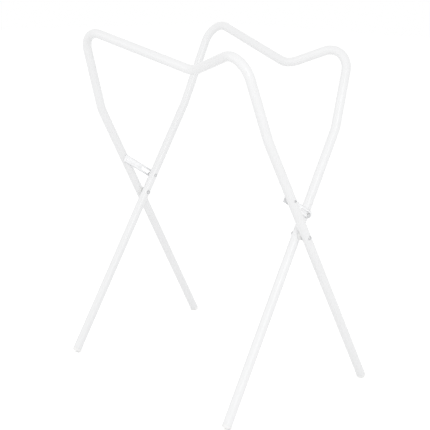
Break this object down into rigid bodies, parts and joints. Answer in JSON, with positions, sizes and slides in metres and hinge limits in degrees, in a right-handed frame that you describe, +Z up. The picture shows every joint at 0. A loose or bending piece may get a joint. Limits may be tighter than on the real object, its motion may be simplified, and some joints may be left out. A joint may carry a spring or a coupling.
{
  "type": "baby bath stand",
  "caption": "Folding baby bath stand: crossed bent tube frames in white with dipped rails, pivoted at the legs and held open by slotted stays.",
  "frame": {"origin": "on the floor, at the middle of the stand's bounding box", "axes": "+X to the right along the rails and the pivot axis, -Y the front (the outer frame's rail side), +Z up"},
  "size_m": [0.65, 0.4722, 0.8666],
  "materials": {
    "white_enamel": "glossy white enamel on bent steel tube",
    "white_plastic": "moulded white plastic",
    "zinc_strip": "bright zinc on stamped steel strip",
    "washer_nylon": "matt white nylon moulding",
    "fastener_steel": "plain zinc-plated steel"
  },
  "bodies": {
    "outer": {"outer_frame": "white_enamel", "outer_foot_left": "white_plastic", "outer_foot_right": "white_plastic", "pivot_bolt_left": "fastener_steel", "pivot_bolt_right": "fastener_steel", "pivot_washer_left": "washer_nylon", "pivot_washer_right": "washer_nylon", "pivot_nut_left": "fastener_steel", "pivot_nut_right": "fastener_steel", "stay_rivet_left": "fastener_steel", "stay_rivet_right": "fastener_steel", "stay_washer_left": "washer_nylon", "stay_washer_right": "washer_nylon"},
    "inner": {"inner_frame": "white_enamel", "inner_foot_left": "white_plastic", "inner_foot_right": "white_plastic", "guide_pin_left": "fastener_steel", "guide_pin_right": "fastener_steel", "guide_washer_left": "washer_nylon", "guide_washer_right": "washer_nylon", "guide_cap_left": "fastener_steel", "guide_cap_right": "fastener_steel"},
    "stay_left_body": {"stay_left": "zinc_strip"},
    "stay_right_body": {"stay_right": "zinc_strip"}
  },
  "joints": [
    {"name": "fold", "type": "hinge", "parent": "outer", "child": "inner", "pos_m": [0, 0, 0.40839], "axis": [1, 0, 0], "range_deg": [0, 43]},
    {"name": "stay_left_turn", "type": "hinge", "parent": "outer", "child": "stay_left_body", "pos_m": [-0.28545, -0.05285, 0.50257], "axis": [1, 0, 0], "range_deg": [-14.1, 0]},
    {"name": "stay_right_turn", "type": "hinge", "parent": "outer", "child": "stay_right_body", "pos_m": [0.28545, -0.05285, 0.50257], "axis": [1, 0, 0], "range_deg": [-14.1, 0]}
  ],
  "couplings": [
    {"joint": "stay_left_turn", "follows": "fold", "ratio": -0.327},
    {"joint": "stay_right_turn", "follows": "fold", "ratio": -0.327}
  ]
}
